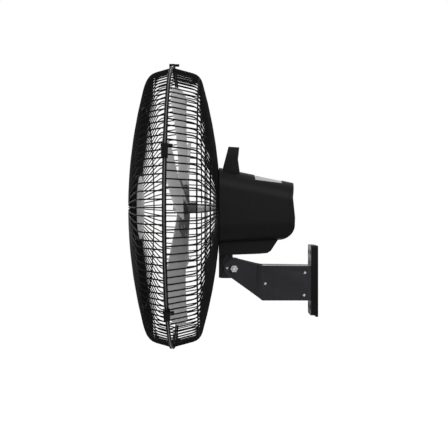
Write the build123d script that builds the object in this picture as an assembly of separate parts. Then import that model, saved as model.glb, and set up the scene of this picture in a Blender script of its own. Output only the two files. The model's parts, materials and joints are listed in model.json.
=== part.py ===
"""Wall mounted fan: a caged rotor on a motor head that tilts and swings on a wall bracket.

Millimetres. The origin is the middle of the wall plate's back face, +Z is up, the wall is
the plane X = 0 and the fan blows towards -X. Polygon rings stand for the many bent wires.
"""
import math
import os

from build123d import *

os.makedirs("parts", exist_ok=True)

# ---- driving dimensions: fan and guard ----
AXIS_Z = 143.0               # height of the fan axis above the wall plate's middle
WIRES = 125                  # wires in each half of the guard
WIRE = 2.4                   # wire diameter
RIM_X = -285.0               # plane where the two halves meet
RIM_R = 270.5                # radius of the wires' outer ends
BAND_R = 276.5               # outer radius of the clamping band
DOME_X, DOME_CURVE = -370.1, 0.0006       # front dome: x = DOME_X + DOME_CURVE * r * r
BACK_X, BACK_CURVE = -194.2, -0.00058     # rear dome
FRONT_CORNER = (258.3, -328.8)            # radius and x of each half's shoulder
REAR_CORNER = (256.8, -234.0)
REAR_PHASE = 0.39            # the rear wires are offset by this part of a pitch
CLIPS, CLIP_ANGLE = 6, 19.3
BADGE_R, BADGE_X, BADGE_DEPTH = 61.9, -366.3, 13.8
GUARD_PLATE_X, GUARD_PLATE_R = -201.6, 70.0

# ---- rotor ----
BLADES = 5
BLADE_TIP_R, BLADE_ROOT_R, BLADE_FLAT_R = 238.0, 46.0, 82.0
BLADE_X = -272.1             # blade plane at the root
BLADE_ANGLE = 67.0           # first blade's root, from the -Y side upwards
ROOT_CHORD, TIP_CHORD = 78.0, 165.0
ROOT_PITCH, TIP_PITCH = 16.0, 6.0
SWEEP, CAMBER, RAKE = -35.0, 0.11, -4.8
SHEET = 1.7                  # blade sheet, measured along the axis
ARM = 3.2                    # hub arm, measured the same way
HUB_FRONT, HUB_BACK, HUB_R = -277.0, -253.0, 22.0
SHAFT_R, TAIL_R = 8.0, 7.5   # motor shaft, and its rear bearing seat

# ---- motor ----
FLANGE_X, FLANGE_BACK, FLANGE_R = -194.4, -188.0, 62.0
FRAME_R, FRAME_WALL, FRAME_BACK = 46.0, 3.0, -100.0
CORE_FRONT, CORE_BACK = -166.0, -122.0
STATOR_BORE, ROTOR_R = 27.4, 26.5
BEARING_FRONT_X, BEARING_REAR_X = -192.0, -107.0

# ---- housing ----
HOUSE_X, SEAM_X, HOUSE_BACK = -195.5, -61.0, -49.8
HOUSE_TOP, TOP_SLOPE = 221.0, -0.2
HOUSE_BOTTOM, BOTTOM_SLOPE = 75.5, 0.0335
HOUSE_HALF, HALF_SLOPE = 70.0, -0.107
WALL = 2.5
CHIN_FLOOR, CHIN_HALF = 50.0, 34.0
PANEL_FRONT, PANEL_BACK = -126.0, -73.0
PANEL_FLOOR, PANEL_SLOPE = 196.8, -0.12

# ---- bracket, tilt and swing ----
PIVOT_X, PIVOT_Z = -165.6, 22.6
SPINDLE_X, SPINDLE_R = -181.5, 7.0
STOP_R, STOP_ANGLE = 13.85, 175.0         # tilt stop screw, seen from the pivot
TILT_DOWN, TILT_UP = 25.0, 15.0
EAR_Y, PANEL_Y, SHEET_ARM = 16.0, 21.0, 2.5
JOGGLE_FRONT, JOGGLE_BACK = -121.0, -110.0
ARM_TOP, ARM_BOTTOM = 28.0, -40.0
LUG_Y, LUG_FLOOR = 12.7, 3.2
PLATE_THICK, PLATE_Y, PLATE_TOP, PLATE_BOTTOM = 4.6, 20.0, 68.0, -73.0
PAN_X, PAN_Y, PAN_TOP, PAN_BOTTOM, PAN_WALL = -14.4, 21.0, 69.0, -70.0, 1.6
HOLE_R, HOLE_Y, HOLE_Z = 3.5, 11.0, 54.0
CRANK_X, CRANK_R = -118.0, 12.5
CRANK_ANGLE = -66.7          # crank pin's direction from the crank centre
ROCKER_R, ROCKER_ANGLE = 21.8, -50.0      # link pin on the fixed rocker
LUG_TOP, LINK_Z, LINK_THICK = 54.6, 57.3, 3.0
FIT = 0.05                   # running clearance on a radius

SCREW_SIDES = 6
SMALL_SIDES = 16
RING_SIDES, RIM_SIDES = 32, 48


# ---- helpers ----
def save(name, *shapes):
    """Write one node; separate solids of a group stay separate."""
    shape = shapes[0] if len(shapes) == 1 else Compound(children=list(shapes))
    export_step(shape, f"parts/{name}.step")


def box(x0, x1, y0, y1, z0, z1):
    middle = Pos((x0 + x1) / 2, (y0 + y1) / 2, (z0 + z1) / 2)
    return middle * Box(x1 - x0, y1 - y0, z1 - z0)


def on_axis(shape, angle=0.0):
    """Put a shape built about the X axis on the fan axis, turned by an angle."""
    return Pos(0, 0, AXIS_Z) * Rot(angle, 0, 0) * shape


def clock(angle):
    """Turn from straight up to an angle measured from the -Y side upwards."""
    return 90.0 - angle


def prism(face_2d, plane, start, end):
    return extrude(plane.offset(start) * face_2d, amount=end - start)


def outline(size, sides=0):
    return RegularPolygon(size, sides) if sides else Circle(size)


def loose(radius, sides=SMALL_SIDES):
    """Corner radius of a polygon hole that a round bar of this radius just passes."""
    return (radius + FIT) / math.cos(math.pi / sides)


def round_x(radius, x0, x1, bore=0.0, sides=0, y=0.0, z=0.0):
    """A disc, tube or polygon prism along X."""
    face = outline(radius, sides)
    if bore:
        face -= outline(bore, sides)
    return Pos(0, y, z) * prism(face, Plane.YZ, x0, x1)


def round_y(radius, x, z, y0, y1, sides=0):
    face = Pos(x, -z) * outline(radius, sides)
    return prism(face, Plane.XZ.rotated((180, 0, 0)), y0, y1)


def round_z(radius, x, y, z0, z1, sides=0):
    return prism(Pos(x, y) * outline(radius, sides), Plane.XY, z0, z1)


def side_plate(face, y0, y1):
    """Extrude a face drawn in the side view (X, Z) across Y."""
    return Pos(0, y0, 0) * extrude(face, amount=y1 - y0, dir=(0, 1, 0))


def side_face(*points):
    """A face in the side view from (X, Z) points."""
    return make_face(Polyline(*[(x, 0, z) for x, z in points], close=True))


def lathe(*profile):
    """Turn an (X, radius) outline about the X axis."""
    face = make_face(Polyline(*[(x, 0, r) for x, r in profile], close=True))
    return revolve(face, Axis.X, 360)


def around(count, shape, start=0.0):
    """Copies of a shape built straight above the axis, equally spaced round the fan axis."""
    return [on_axis(shape, start + 360.0 / count * i) for i in range(count)]


def flat(*corners):
    return Face(Wire.make_polygon([Vector(*c) for c in corners], close=True))


def strip_solid(sections):
    """A solid with planar sides through equal closed sections."""
    faces = [flat(*sections[0]), flat(*sections[-1])]
    count = len(sections[0])
    for near, far in zip(sections, sections[1:]):
        for i in range(count):
            j = (i + 1) % count
            faces.append(flat(near[i], near[j], far[j], far[i]))
    return Solid(Shell(faces))


def mitred(path, distance):
    """Move a path in a plane sideways, with mitred corners."""
    moved = []
    for i, point in enumerate(path):
        before = path[max(i - 1, 0)]
        after = path[min(i + 1, len(path) - 1)]
        first = math.atan2(point[1] - before[1], point[0] - before[0]) if i else None
        last = math.atan2(after[1] - point[1], after[0] - point[0]) if point != after else first
        first = last if first is None else first
        middle = (first + last) / 2
        reach = distance / math.cos((last - first) / 2)
        moved.append((point[0] - reach * math.sin(middle), point[1] + reach * math.cos(middle)))
    return moved


# ---- guard ----
def guard_wire(path, inward):
    """One wire: a rib of triangular section with its flat side towards the rotor."""
    flat_side = mitred(path, inward * WIRE / 2)
    ridge = mitred(path, -inward * WIRE / 2)
    sections = []
    for (r_in, x_in), (r_out, x_out) in zip(flat_side, ridge):
        sections.append([(x_in, -WIRE / 2, r_in), (x_in, WIRE / 2, r_in), (x_out, 0, r_out)])
    return strip_solid(sections)


def dome(r):
    return DOME_X + DOME_CURVE * r * r


def back(r):
    return BACK_X + BACK_CURVE * r * r


def guard_ring(radius, width, x0, x1, sides=RING_SIDES):
    return on_axis(round_x(radius, x0, x1, radius - width, sides))


def make_guard():
    end_r = RIM_R - 1.0
    front = [(58.0, dome(58)), (155.0, dome(155)), FRONT_CORNER, (end_r, RIM_X - 1.5)]
    rear = [(50.0, back(50)), (150.0, back(150)), REAR_CORNER, (end_r, RIM_X + 1.5)]
    pitch = 360.0 / WIRES
    save("front_guard_wires", *around(WIRES, guard_wire(front, 1), clock(0)))
    save("rear_guard_wires", *around(WIRES, guard_wire(rear, -1), clock(REAR_PHASE * pitch)))
    save("front_guard_rings",
         guard_ring(66.0, 4.0, -365.7, -362.0, 32),
         guard_ring(196.0, 4.0, -343.7, -341.0),
         guard_ring(256.6, 3.2, -327.8, -324.7),
         guard_ring(BAND_R - 2.0, 3.2, RIM_X - 3.0, RIM_X, RIM_SIDES))
    plate = round_x(GUARD_PLATE_R, GUARD_PLATE_X, GUARD_PLATE_X + 2.0, 40.0, 32)
    for screw in guard_screws():
        plate -= screw
    save("rear_guard_rings",
         on_axis(plate),
         guard_ring(207.0, 4.0, -225.7, -222.8),
         guard_ring(255.2, 3.2, -238.0, -234.9),
         guard_ring(BAND_R - 2.0, 3.2, RIM_X, RIM_X + 3.0, RIM_SIDES))
    save("rim_band", guard_ring(BAND_R, 2.0, RIM_X - 3.5, RIM_X + 3.5, RIM_SIDES))


def guard_screws():
    """Four screws that hold the rear half's centre plate on the motor flange."""
    screw = round_x(4.0, GUARD_PLATE_X - 2.5, GUARD_PLATE_X, sides=SCREW_SIDES, z=45.0)
    screw += round_x(2.0, GUARD_PLATE_X, FLANGE_BACK - 0.2, sides=SCREW_SIDES, z=45.0)
    return [Rot(45 + 90 * i, 0, 0) * screw for i in range(4)]


def make_clips():
    """Channel clips over the band, each drawn tight by a screw along the axis."""
    legs_r, top_r, half = RIM_R + 0.9, BAND_R + 4.0, 11.5
    front, rear = RIM_X - 5.6, RIM_X + 5.0
    spot = dict(sides=SCREW_SIDES, y=8.5, z=BAND_R + 1.6)
    clip = box(front, rear, -half, half, legs_r, top_r)
    clip -= box(front + 1.4, rear - 1.4, -half, half, legs_r, top_r - 1.0)
    screw = round_x(1.3, front, rear + 7.5, **spot) + round_x(2.4, front - 2.0, front, **spot)
    start = clock(CLIP_ANGLE)
    save("guard_clips", *around(CLIPS, clip - screw, start))
    save("clip_screws", *around(CLIPS, screw, start))


def make_badge():
    """Blank disc in the front centre ring, with a plain backing plate."""
    rear = BADGE_X + BADGE_DEPTH
    rim = 3.0
    puck = round_x(BADGE_R, BADGE_X, rear, sides=32)
    puck -= round_x(BADGE_R - rim, BADGE_X, BADGE_X + 2.0, sides=32)
    plate = round_x(BADGE_R + 1.1, rear, rear + 1.5, sides=40)
    screw = round_x(1.5, rear - 6.0, rear + 1.5, sides=SCREW_SIDES, z=30.0)
    screw += round_x(3.0, rear + 1.5, rear + 3.3, sides=SCREW_SIDES, z=30.0)
    screws = [Rot(180 * i, 0, 0) * screw for i in range(2)]
    for item in screws:
        puck -= item
        plate -= item
    save("front_badge", on_axis(puck))
    save("badge_back_plate", on_axis(plate))
    save("badge_screws", *[on_axis(item) for item in screws])


# ---- rotor ----
def blade_point(r, along, depth, root=False):
    """A point of the blade sheet: radius, place across the chord and depth along the axis."""
    span = max(0.0, (r - BLADE_FLAT_R) / (BLADE_TIP_R - BLADE_FLAT_R))
    chord = ROOT_CHORD + (TIP_CHORD - ROOT_CHORD) * span ** 2.2
    pitch = math.radians(ROOT_PITCH + (TIP_PITCH - ROOT_PITCH) * span ** 3)
    bow = CAMBER * math.sqrt(span) * (1 - 4 * along * along) * chord
    across = along * chord * math.cos(pitch) - bow * math.sin(pitch)
    x = BLADE_X + RAKE * span + along * chord * math.sin(pitch) + bow * math.cos(pitch) + depth
    if root or span == 0.0:
        return (x, -across, r)
    angle = across / r + math.radians(SWEEP) * span ** 1.1
    return (x, -r * math.sin(angle), r * math.cos(angle))


def make_blade():
    """A pressed sheet: flat root for the hub arm, then twist, camber and sweep."""
    radii = [BLADE_ROOT_R, BLADE_FLAT_R, 105.0, 135.0, 165.0, 195.0, 220.0, BLADE_TIP_R]
    across = [i / 6.0 - 0.5 for i in range(7)]
    skins = []
    for depth in (0.0, SHEET):
        skins.append([[blade_point(r, a, depth) for a in across] for r in radii])
    faces = []

    def quad(a, b, c, d):
        faces.append(flat(a, b, c))
        faces.append(flat(a, c, d))

    for skin in skins:
        for i in range(len(radii) - 1):
            for j in range(len(across) - 1):
                quad(skin[i][j], skin[i][j + 1], skin[i + 1][j + 1], skin[i + 1][j])
    near, far = skins
    for i in range(len(radii) - 1):
        for j in (0, -1):
            quad(near[i][j], near[i + 1][j], far[i + 1][j], far[i][j])
    for j in range(len(across) - 1):
        for i in (0, -1):
            quad(near[i][j], near[i][j + 1], far[i][j + 1], far[i][j])
    return Solid(Shell(faces))


def root_plane(r, across, depth):
    """A plane on the blade's flat root, its normal along the rivet."""
    pitch = math.radians(ROOT_PITCH)
    spot = (BLADE_X + depth + across * math.sin(pitch), -across * math.cos(pitch), r)
    return Plane(origin=spot, x_dir=(0, 0, 1), z_dir=(math.cos(pitch), math.sin(pitch), 0))


def rivets():
    made = []
    for r, across in ((58.0, 0.0), (72.0, -9.0), (72.0, 9.0)):
        plane = root_plane(r, across, 0)
        shank = extrude(plane * RegularPolygon(2.4, SCREW_SIDES), amount=6.0)
        made.append(shank + extrude(plane * RegularPolygon(4.2, SCREW_SIDES), amount=-1.8))
    return made


def hub_arm():
    """A flat arm behind the blade's root, cut to the same pitch."""
    half = 17.0
    pitch = math.radians(ROOT_PITCH)
    corners = []
    for depth in (SHEET, SHEET + ARM):
        side = []
        for across, r in ((-half, 12.0), (half, 12.0), (half, 80.0), (-half, 80.0)):
            side.append((BLADE_X + depth + across * math.sin(pitch),
                         -across * math.cos(pitch), r))
        corners.append(side)
    return strip_solid(corners)


def make_rotor():
    start = clock(BLADE_ANGLE)
    studs = rivets()
    blade, arm = make_blade(), hub_arm()
    for stud in studs:
        blade -= stud
        arm -= stud
    for i, item in enumerate(around(BLADES, blade, start)):
        save(f"blade_{i + 1}", item)
    group = []
    for stud in studs:
        group += around(BLADES, stud, start)
    save("blade_rivets", *group)
    disc = round_x(HUB_R, HUB_FRONT, HUB_BACK, sides=24)
    disc = chamfer(disc.faces().sort_by(Axis.X)[0].edges(), 4)
    hub = on_axis(disc + round_x(12.0, HUB_BACK, HUB_BACK + 15, sides=SMALL_SIDES))
    for item in around(BLADES, arm, start):
        hub += item
    hub -= on_axis(round_x(loose(6.0), HUB_FRONT - 1, HUB_BACK, sides=SMALL_SIDES))
    hub -= on_axis(round_x(loose(SHAFT_R), HUB_BACK, HUB_BACK + 16, sides=SMALL_SIDES))
    save("blade_hub", hub)
    nut = round_x(9.2, HUB_FRONT - 8, HUB_FRONT, sides=6)
    nut -= round_x(loose(5.0), HUB_FRONT - 9, 0, sides=SMALL_SIDES)
    save("hub_nut", on_axis(nut))
    core_gap = 4.0
    save("motor_shaft", on_axis(lathe(
        (HUB_FRONT - 10, 0), (HUB_FRONT - 10, 5), (HUB_FRONT, 5), (HUB_FRONT, 6),
        (HUB_BACK, 6), (HUB_BACK, SHAFT_R), (CORE_BACK + core_gap, SHAFT_R),
        (CORE_BACK + core_gap, TAIL_R), (BEARING_REAR_X + 10.5, TAIL_R),
        (BEARING_REAR_X + 10.5, 0))))
    core = round_x(ROTOR_R, CORE_FRONT, CORE_BACK, loose(SHAFT_R), SMALL_SIDES)
    save("rotor_core", on_axis(core))


# ---- motor ----
def flange_screws():
    screw = round_x(2.2, FLANGE_X, FLANGE_BACK + 4, sides=SCREW_SIDES, z=56.0)
    return [Rot(45 + 90 * i, 0, 0) * screw for i in range(4)]


def make_motor():
    sides = 24
    pad_x = GUARD_PLATE_X + 2.0
    bell = round_x(FLANGE_R, FLANGE_X, FLANGE_BACK, sides=32)
    bell += round_x(49.0, pad_x, FLANGE_X, sides=32)
    bell += round_x(24.0, pad_x - 7.6, pad_x, sides=sides)
    bell += round_x(24.0, FLANGE_BACK, FLANGE_BACK + 10, sides=sides)
    bell -= round_x(20.0, BEARING_FRONT_X, FLANGE_BACK + 11, sides=sides)
    bell -= round_x(9.5, pad_x - 8, BEARING_FRONT_X, sides=SMALL_SIDES)
    for screw in guard_screws() + flange_screws():
        bell -= screw
    notch = box(FLANGE_X - 1, FLANGE_BACK + 1, -21, 21, AXIS_Z - 70, AXIS_Z - FRAME_R - 0.3)
    save("motor_front_bell", on_axis(bell) - notch)
    save("guard_plate_screws", *[on_axis(s) for s in guard_screws()])
    save("flange_screws", *[on_axis(s) for s in flange_screws()])

    inside = FRAME_R - FRAME_WALL
    frame = on_axis(round_x(FRAME_R, FLANGE_BACK, FRAME_BACK, inside, sides))
    for bolt in saddle_bolts():
        frame -= bolt
    save("motor_frame", frame)
    tail = round_x(FRAME_R, FRAME_BACK, FRAME_BACK + 8, sides=sides)
    tail += round_x(22.0, FRAME_BACK - 8, FRAME_BACK, sides=sides)
    tail -= round_x(17.5, FRAME_BACK - 9, FRAME_BACK + 4, sides=sides)
    tail = on_axis(tail) - capacitor_screw()
    save("motor_rear_bell", tail)
    save("front_bearing", on_axis(round_x(20.0, BEARING_FRONT_X, BEARING_FRONT_X + 12, sides=sides)
                                  - round_x(SHAFT_R + FIT, BEARING_FRONT_X, BEARING_FRONT_X + 12)))
    save("rear_bearing", on_axis(round_x(17.5, BEARING_REAR_X, BEARING_REAR_X + 11, sides=sides)
                                 - round_x(TAIL_R + FIT, BEARING_REAR_X, BEARING_REAR_X + 11)))
    save("stator_core", on_axis(round_x(inside, CORE_FRONT, CORE_BACK, STATOR_BORE, sides)))
    coil = 10.0
    save("stator_windings",
         on_axis(round_x(41.0, CORE_FRONT - coil, CORE_FRONT, 30.0, SMALL_SIDES)),
         on_axis(round_x(41.0, CORE_BACK, CORE_BACK + coil, 30.0, SMALL_SIDES)))

    block_x = FRAME_BACK + 8
    case = box(block_x, block_x + 20, -24, 24, 128, 160)
    case += box(block_x, block_x + 3, -7, 7, 118, 128)
    save("capacitor", case - capacitor_screw())
    save("capacitor_screw", capacitor_screw())


def capacitor_screw():
    x = FRAME_BACK + 8
    screw = round_x(1.8, x - 4, x + 3, sides=SCREW_SIDES, z=123.0)
    return screw + round_x(3.6, x + 3, x + 5.4, sides=SCREW_SIDES, z=123.0)


# ---- head: swivel block and swing drive ----
def saddle_bolts():
    """Two bolts from below that hold the motor frame in the cradle of the block."""
    made = []
    for x, head_z in ((-158.0, 77.5), (-146.0, 86.0)):
        bolt = round_z(2.5, x, 0, head_z, AXIS_Z - FRAME_R + FRAME_WALL - 0.6, SCREW_SIDES)
        made.append(bolt + round_z(4.6, x, 0, head_z - 4, head_z, SCREW_SIDES))
    return made


def swing_screws():
    made = []
    for y in (-17.5, 17.5):
        screw = round_z(1.8, CRANK_X, y, 83.0, 92.0, SCREW_SIDES)
        made.append(screw + round_z(3.4, CRANK_X, y, 80.6, 83.0, SCREW_SIDES))
    return made


def make_head_mount():
    side = side_face((-192.8, 65), (-169, 65), (-158, 77.5), (-152, 86), (-97, 86),
                     (-97, 101), (-192.8, 101))
    block = side_plate(side, -20, 20)
    block -= on_axis(round_x(FRAME_R, -200, -90, sides=24))
    block -= box(-200, -169.5, -11.5, 11.5, 80, 110)
    block -= box(-200, FLANGE_BACK + 0.2, -30, 30, 96.6, 110)
    block -= round_z(SPINDLE_R + FIT, SPINDLE_X, 0, 60, 90)
    block -= round_z(5.0, -158, 0, 60, 77.5, SMALL_SIDES)
    for screw in saddle_bolts() + swing_screws():
        block -= screw
    save("swivel_block", block)
    save("saddle_bolts", *saddle_bolts())

    top, ear = 86.0, 83.0
    gearbox = round_z(15.0, CRANK_X, 0, 68, top, 20)
    gearbox += box(CRANK_X - 5, CRANK_X + 5, -21, 21, ear, top)
    gearbox -= round_z(3.0 + FIT, CRANK_X, 0, 67, 80)
    for screw in swing_screws():
        gearbox -= screw
    save("swing_gearbox", gearbox)
    save("swing_screws", *swing_screws())


def crank_pin():
    angle = math.radians(CRANK_ANGLE)
    return CRANK_X + CRANK_R * math.cos(angle), CRANK_R * math.sin(angle)


def rocker_pin():
    angle = math.radians(ROCKER_ANGLE)
    return SPINDLE_X + ROCKER_R * math.cos(angle), ROCKER_R * math.sin(angle)


def bar_between(start, end, start_r, end_r, z0, z1):
    """A flat bar with round ends, such as a link or a rocker."""
    ends = [(Pos(*spot) * outline(size, SMALL_SIDES)).edges()
            for spot, size in ((start, start_r), (end, end_r))]
    ends = ends[0] + ends[1]
    return prism(make_hull(ends), Plane.XY, z0, z1)


def make_swing_drive():
    top = LINK_Z + LINK_THICK
    crank = round_z(16.0, CRANK_X, 0, 62.5, 66.0, 24) + round_z(3.0, CRANK_X, 0, 66.0, 78.0)
    crank += round_z(2.5, *crank_pin(), top + 0.5, 62.5, SMALL_SIDES)
    save("crank_disc", crank)
    link = bar_between(rocker_pin(), crank_pin(), 4.5, 4.5, LINK_Z, top)
    link -= round_z(2.5 + FIT, *rocker_pin(), LINK_Z, top)
    link -= round_z(loose(2.6), *crank_pin(), LINK_Z, top, SMALL_SIDES)
    save("crank_link", link)
    rocker = bar_between((SPINDLE_X, 0), rocker_pin(), 11.0, 4.5, LUG_TOP, LINK_Z - 0.2)
    rocker -= round_z(loose(SPINDLE_R), SPINDLE_X, 0, 50, 60, SMALL_SIDES)
    rocker += round_z(2.5, *rocker_pin(), LINK_Z - 0.2, top + 0.6)
    save("neck_rocker", rocker)


# ---- tilt lug ----
def pivot_polar(radius, angle):
    turn = math.radians(angle)
    return PIVOT_X + radius * math.cos(turn), PIVOT_Z + radius * math.sin(turn)


def stop_slot():
    """Curved slot for the stop screw, long enough for the whole tilt."""
    half, play = 2.3, 1.2
    low, high = STOP_ANGLE - TILT_DOWN - play, STOP_ANGLE + TILT_UP + play
    inner, outer = STOP_R - half, STOP_R + half
    angles = [low + (high - low) / 4 * i for i in range(5)]
    edge = [pivot_polar(inner, a) for a in angles] + [pivot_polar(outer, a) for a in angles[::-1]]
    slot = side_plate(side_face(*edge), -LUG_Y - 1, -LUG_Y + 6)
    for angle in (low, high):
        slot += round_y(half, *pivot_polar(STOP_R, angle), -LUG_Y - 1, -LUG_Y + 6, 12)
    return slot


def make_tilt():
    boss_r, boss_top, sides = 14.0, 49.0, 24
    front = SPINDLE_X - boss_r
    body = side_face((front, LUG_FLOOR), (PIVOT_X - 4, LUG_FLOOR), (PIVOT_X + 8, 7),
                     (PIVOT_X + 13, 22), (-168, 42), (-168, 46), (front, 46))
    lug = side_plate(body, -LUG_Y, LUG_Y)
    lug += round_y(17.3, PIVOT_X, PIVOT_Z, -LUG_Y, LUG_Y, sides)
    plan = round_z(boss_r, SPINDLE_X, 0, 0, 60, sides)
    lug = lug & (plan + box(SPINDLE_X, -140, -LUG_Y, LUG_Y, 0, 60))
    lug += round_z(boss_r, SPINDLE_X, 0, 42, boss_top, sides)
    lug += round_z(10.0, SPINDLE_X, 0, boss_top, LUG_TOP, sides)
    lug -= round_y(4 + FIT, PIVOT_X, PIVOT_Z, -20, 20)
    lug -= round_z(loose(SPINDLE_R), SPINDLE_X, 0, 36, 60, SMALL_SIDES)
    save("tilt_lug", lug - stop_slot())
    spindle = round_z(SPINDLE_R, SPINDLE_X, 0, 36, 88)
    collar = round_z(11.0, SPINDLE_X, 0, 60.2, 63.2, 20)
    save("swivel_spindle", spindle + collar)
    hole = round_z(loose(SPINDLE_R), SPINDLE_X, 0, 60, 88, SMALL_SIDES)
    save("thrust_washer", round_z(11.0, SPINDLE_X, 0, 63.2, 64.9, 20) - hole)
    save("spindle_nut", round_z(11.0, SPINDLE_X, 0, 80.1, 87.0, 6) - hole)


# ---- wall bracket ----
def arm_screws():
    made = []
    for x, z in ((-104.5, -6.4), (-26.6, 14.8), (-28.2, -29.2)):
        for side in (-1, 1):
            skin, tip = side * PANEL_Y, side * 13.5
            shank = round_y(2.0, x, z, *sorted((skin, tip)), SCREW_SIDES)
            head = round_y(3.7, x, z, *sorted((skin, skin + side * 2.4)), SCREW_SIDES)
            made.append(shank + head)
    return made


def stop_screw():
    x, z = pivot_polar(STOP_R, STOP_ANGLE)
    screw = round_y(2.0, x, z, -EAR_Y, -LUG_Y + 5, 12)
    return screw + round_y(2.9, x, z, -EAR_Y - 2.2, -EAR_Y, 12)


def ear_outline():
    """Side view of one arm plate: rounded ear, sloping edges, then the deep rear panel."""
    top, left, low = (-156, 0, 40), (PIVOT_X - 20, 0, PIVOT_Z), (-170, 0, LUG_FLOOR)
    nose = ThreePointArc(top, left, low)
    rest = Polyline(low, (JOGGLE_BACK, 0, ARM_BOTTOM), (PAN_X, 0, ARM_BOTTOM),
                    (PAN_X, 0, ARM_TOP), (JOGGLE_BACK, 0, ARM_TOP + 1),
                    (JOGGLE_FRONT, 0, 31.5), top)
    return make_face(nose + rest)


def make_arm():
    middle = [(-195, EAR_Y - SHEET_ARM / 2), (JOGGLE_FRONT, EAR_Y - SHEET_ARM / 2),
              (JOGGLE_BACK, PANEL_Y - SHEET_ARM / 2), (PAN_X, PANEL_Y - SHEET_ARM / 2)]
    edge = mitred(middle, SHEET_ARM / 2) + mitred(middle, -SHEET_ARM / 2)[::-1]
    strip = prism(make_face(Polyline(*edge, close=True)), Plane.XY, -60, 60)
    blank = strip & side_plate(ear_outline(), 0, 40)
    pivot = round_y(loose(4.0), PIVOT_X, PIVOT_Z, -40, 40, SMALL_SIDES)
    for name, plate in (("arm_plate_right", blank), ("arm_plate_left", mirror(blank, Plane.XZ))):
        plate -= pivot
        for screw in arm_screws():
            plate -= screw
        save(name, plate - stop_screw())
    save("arm_screws", *arm_screws())
    save("tilt_stop_screw", stop_screw())

    inner = PANEL_Y - SHEET_ARM
    channel = box(-108, -PLATE_THICK, -inner, inner, ARM_BOTTOM, ARM_TOP)
    channel -= box(-109, 0, -inner + 2.5, inner - 2.5, ARM_BOTTOM + 2.5, ARM_TOP - 2.5)
    for screw in arm_screws():
        channel -= screw
    save("arm_channel", channel)

    bolt = round_y(4.0, PIVOT_X, PIVOT_Z, -EAR_Y - 11, EAR_Y)
    bolt += round_y(7.5, PIVOT_X, PIVOT_Z, EAR_Y, EAR_Y + 5.3, 6)
    save("pivot_bolt", bolt)
    nut = round_y(7.5, PIVOT_X, PIVOT_Z, -EAR_Y - 6.5, -EAR_Y, 6)
    save("pivot_nut", nut - pivot)
    washer = round_y(9.0, PIVOT_X, PIVOT_Z, LUG_Y + 0.1, EAR_Y - SHEET_ARM, 16)
    washer -= pivot
    save("friction_washers", washer, mirror(washer, Plane.XZ))


def wall_holes(radius, x0, x1, sides=0):
    made = []
    for y in (-HOLE_Y, HOLE_Y):
        for z in (-HOLE_Z, HOLE_Z):
            made.append(round_x(radius, x0, x1, sides=sides, y=y, z=z))
    return made


def make_wall_plate():
    plate = box(-PLATE_THICK, 0, -PLATE_Y, PLATE_Y, PLATE_BOTTOM, PLATE_TOP)
    plate = fillet(plate.edges().filter_by(Axis.X), 4)
    for hole in wall_holes(HOLE_R, -10, 1):
        plate -= hole
    save("wall_plate", plate)
    pan = box(PAN_X, -PLATE_THICK, -PAN_Y, PAN_Y, PAN_BOTTOM, PAN_TOP)
    pan = fillet(pan.edges().filter_by(Axis.X), 5)
    hollow = box(PAN_X + PAN_WALL, 0, -PAN_Y + PAN_WALL, PAN_Y - PAN_WALL,
                 PAN_BOTTOM + PAN_WALL, PAN_TOP - PAN_WALL)
    pan -= chamfer(hollow.edges().filter_by(Axis.X), 2.5)
    gap = PANEL_Y - SHEET_ARM + 0.15
    pan -= box(PAN_X - 1, -8, -gap, gap, ARM_BOTTOM - 0.15, ARM_TOP + 0.15)
    for hole in wall_holes(6.0, -20, -8, 12):
        pan -= hole
    save("plate_cover", pan)


# ---- housing ----
def house_edges(x, inset):
    """Bottom, top and half width of the housing at one place along the axis."""
    reach = x - HOUSE_X
    return (HOUSE_BOTTOM + BOTTOM_SLOPE * reach + inset, HOUSE_TOP + TOP_SLOPE * reach - inset,
            HOUSE_HALF + HALF_SLOPE * reach - inset)


def tail_outline(inset):
    """Side view of the housing's rounded tail; every other edge runs clear of the body."""
    low, knee = (-76, 79.5 + inset), (-58.5 - 0.6 * inset, 88.5 + 0.7 * inset)
    rise, waist, top = (-50.2 - inset, 112), (-53.8 - inset, 162), -49.6 - inset
    curve = ThreePointArc(*[(x, 0, z) for x, z in (low, knee, rise)])
    points = (rise, (HOUSE_BACK - inset, 124), waist, (top, 192), (top, 260), (-230, 260),
              (-230, 40), (-90, 60), low)
    return make_face(curve + Polyline(*[(x, 0, z) for x, z in points]))


def house_body(inset=0.0):
    """Tapered body with four large round edges, cut to its tail; the front runs on."""
    front, rear, corner = -215.0, -40.0, 38.0
    low_1, top_1, half_1 = house_edges(front, inset)
    low_2, top_2, half_2 = house_edges(rear, inset)
    side = side_plate(side_face((front, low_1), (rear, low_2), (rear, top_2), (front, top_1)),
                      -100, 100)
    plan = make_face(Polyline((front, -half_1), (rear, -half_2), (rear, half_2),
                              (front, half_1), close=True))
    body = side & prism(plan, Plane.XY, 0, 300)
    long_edges = [e for e in body.edges() if e.length > 0.9 * (rear - front)]
    body = fillet(long_edges, corner - inset)
    return body & side_plate(tail_outline(inset), -90, 90)


def panel_space(grow=0.0):
    """Space of the light panel sunk across the housing's crown."""
    floor = PANEL_FLOOR - grow
    front, rear = PANEL_FRONT - grow, PANEL_BACK + grow
    drop = PANEL_SLOPE * (rear - front)
    return side_plate(side_face((front, floor), (rear, floor + drop), (rear + 2, 240),
                                (front - 2, 240)), -80, 80)


def chin_outline(inset):
    floor = CHIN_FLOOR + inset
    return side_face((HOUSE_X + inset, floor), (-117, floor + 2.6), (-101 - inset / 2, floor + 4),
                     (-94 - inset, floor + 8.5), (-76 - inset, 86), (-76 - inset, 100),
                     (HOUSE_X + inset, 100))


def chin_body(inset=0.0):
    """Tray under the housing, narrower towards the wall."""
    half, narrow = CHIN_HALF - inset, CHIN_HALF - 6 - inset
    plan = make_face(Polyline((HOUSE_X, -half), (-76, -narrow), (-76, narrow), (HOUSE_X, half),
                              close=True))
    return side_plate(chin_outline(inset), -60, 60) & prism(plan, Plane.XY, 40, 110)


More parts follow.
